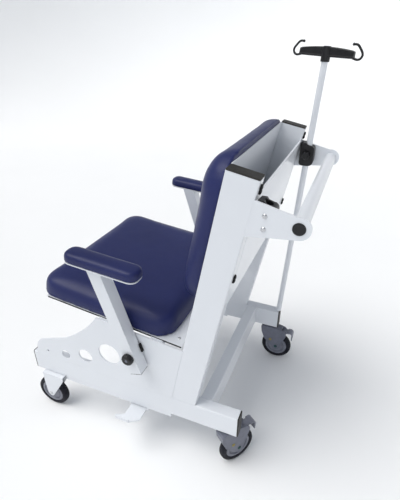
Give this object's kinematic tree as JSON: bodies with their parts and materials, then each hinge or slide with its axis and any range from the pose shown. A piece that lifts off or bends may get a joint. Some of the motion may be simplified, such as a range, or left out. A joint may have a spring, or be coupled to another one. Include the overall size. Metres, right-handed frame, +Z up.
{
  "type": "mobile transfer chair",
  "caption": "Wheeled patient chair with a raked back, folding padded arms, braked rear castors, a rear push handle and a drip pole.",
  "frame": {"origin": "on the floor, at the centre of the chair's box", "axes": "the chair faces -Y, +X is the sitter's left, +Z is up"},
  "size_m": [0.733, 0.9461, 1.2479],
  "materials": {
    "white_paint": "gloss powder coat",
    "end_cap": "fine grain",
    "black_plastic": "satin",
    "black_rubber": "matt",
    "tyre": "matt",
    "pale_plastic": "satin",
    "grey_plastic": "satin",
    "green_plastic": "satin",
    "bright_steel": "zinc plated",
    "navy_vinyl": "soft-grained upholstery vinyl"
  },
  "bodies": {
    "chassis": {"base_tube_left": "white_paint", "under_rail_left": "white_paint", "side_plate_left": "white_paint", "upright_left": "white_paint", "handle_bracket_left": "white_paint", "front_fork_left": "white_paint", "base_front_cap_left": "end_cap", "base_rear_cap_left": "end_cap", "upright_cap_left": "end_cap", "handle_plug_left": "black_plastic", "pole_clamp_left": "black_plastic", "bumper_upper_left": "black_rubber", "bumper_lower_left": "black_rubber", "front_axle_left": "bright_steel", "base_tube_right": "white_paint", "under_rail_right": "white_paint", "side_plate_right": "white_paint", "upright_right": "white_paint", "handle_bracket_right": "white_paint", "front_fork_right": "white_paint", "base_front_cap_right": "end_cap", "base_rear_cap_right": "end_cap", "upright_cap_right": "end_cap", "handle_plug_right": "black_plastic", "pole_clamp_right": "black_plastic", "bumper_upper_right": "black_rubber", "bumper_lower_right": "black_rubber", "front_axle_right": "bright_steel", "rear_cross_tube": "white_paint", "back_panel": "white_paint", "rear_panel": "white_paint", "seat_pan": "white_paint", "handle_tube": "white_paint", "seat_cushion": "navy_vinyl", "back_cushion": "navy_vinyl"},
    "front_wheel_left": {"front_hub_left": "pale_plastic", "front_tyre_left": "tyre"},
    "castor_left": {"castor_housing_left": "grey_plastic", "castor_axle_left": "green_plastic"},
    "castor_wheel_left": {"castor_hub_left": "pale_plastic", "castor_tyre_left": "tyre"},
    "brake_left": {"brake_pedal_left": "pale_plastic"},
    "arm_left": {"arm_post_left": "white_paint", "arm_pad_left": "navy_vinyl"},
    "arm_knob_left": {"arm_knob_left": "black_plastic"},
    "clamp_knob_left": {"clamp_knob_left": "black_plastic"},
    "front_wheel_right": {"front_hub_right": "pale_plastic", "front_tyre_right": "tyre"},
    "castor_right": {"castor_housing_right": "grey_plastic", "castor_axle_right": "green_plastic"},
    "castor_wheel_right": {"castor_hub_right": "pale_plastic", "castor_tyre_right": "tyre"},
    "brake_right": {"brake_pedal_right": "pale_plastic"},
    "arm_right": {"arm_post_right": "white_paint", "arm_pad_right": "navy_vinyl"},
    "arm_knob_right": {"arm_knob_right": "black_plastic"},
    "clamp_knob_right": {"clamp_knob_right": "black_plastic"},
    "pole": {"drip_pole": "white_paint", "hanger": "black_plastic"},
    "pedal": {"foot_pedal": "white_paint"}
  },
  "joints": [
    {"name": "front_wheel_spin_left", "type": "hinge", "parent": "chassis", "child": "front_wheel_left", "pos_m": [0.2955, -0.4106, 0.0625], "axis": [1, 0, 0], "continuous": true},
    {"name": "castor_swivel_left", "type": "hinge", "parent": "chassis", "child": "castor_left", "pos_m": [0.28, 0.2774, 0.155], "axis": [0, 0, 1], "continuous": true},
    {"name": "castor_wheel_spin_left", "type": "hinge", "parent": "castor_left", "child": "castor_wheel_left", "pos_m": [0.24723, 0.30121, 0.0625], "axis": [0.5878, 0.809, 0], "continuous": true},
    {"name": "brake_press_left", "type": "hinge", "parent": "castor_left", "child": "brake_left", "pos_m": [0.2258, 0.31678, 0.14], "axis": [-0.5878, -0.809, 0], "range_deg": [0, 9]},
    {"name": "arm_fold_left", "type": "hinge", "parent": "chassis", "child": "arm_left", "pos_m": [0.3245, -0.0166, 0.412], "axis": [1, 0, 0], "range_deg": [0, 98]},
    {"name": "arm_knob_turn_left", "type": "hinge", "parent": "chassis", "child": "arm_knob_left", "pos_m": [0.353, -0.0166, 0.412], "axis": [1, 0, 0], "range_deg": [0, 180]},
    {"name": "clamp_knob_turn_left", "type": "hinge", "parent": "chassis", "child": "clamp_knob_left", "pos_m": [0.252, 0.3424, 0.906], "axis": [-1, 0, 0], "range_deg": [0, 360]},
    {"name": "front_wheel_spin_right", "type": "hinge", "parent": "chassis", "child": "front_wheel_right", "pos_m": [-0.2955, -0.4106, 0.0625], "axis": [1, 0, 0], "continuous": true},
    {"name": "castor_swivel_right", "type": "hinge", "parent": "chassis", "child": "castor_right", "pos_m": [-0.28, 0.2774, 0.155], "axis": [0, 0, 1], "continuous": true},
    {"name": "castor_wheel_spin_right", "type": "hinge", "parent": "castor_right", "child": "castor_wheel_right", "pos_m": [-0.28, 0.3179, 0.0625], "axis": [1, 0, 0], "continuous": true},
    {"name": "brake_press_right", "type": "hinge", "parent": "castor_right", "child": "brake_right", "pos_m": [-0.28, 0.3444, 0.14], "axis": [-1, 0, 0], "range_deg": [0, 9]},
    {"name": "arm_fold_right", "type": "hinge", "parent": "chassis", "child": "arm_right", "pos_m": [-0.3245, -0.0166, 0.412], "axis": [1, 0, 0], "range_deg": [0, 98]},
    {"name": "arm_knob_turn_right", "type": "hinge", "parent": "chassis", "child": "arm_knob_right", "pos_m": [-0.353, -0.0166, 0.412], "axis": [-1, 0, 0], "range_deg": [0, 180]},
    {"name": "clamp_knob_turn_right", "type": "hinge", "parent": "chassis", "child": "clamp_knob_right", "pos_m": [-0.252, 0.3424, 0.906], "axis": [1, 0, 0], "range_deg": [0, 360]},
    {"name": "pole_slide", "type": "slide", "parent": "chassis", "child": "pole", "axis": [0, 0.0506, 0.9987], "range_m": [0, 0.45]},
    {"name": "pedal_press", "type": "hinge", "parent": "chassis", "child": "pedal", "pos_m": [0.287, -0.0336, 0.1385], "axis": [0, 1, 0], "range_deg": [0, 12], "stiffness_Nm_per_rad": 1.2, "springref_deg": -6.88}
  ]
}
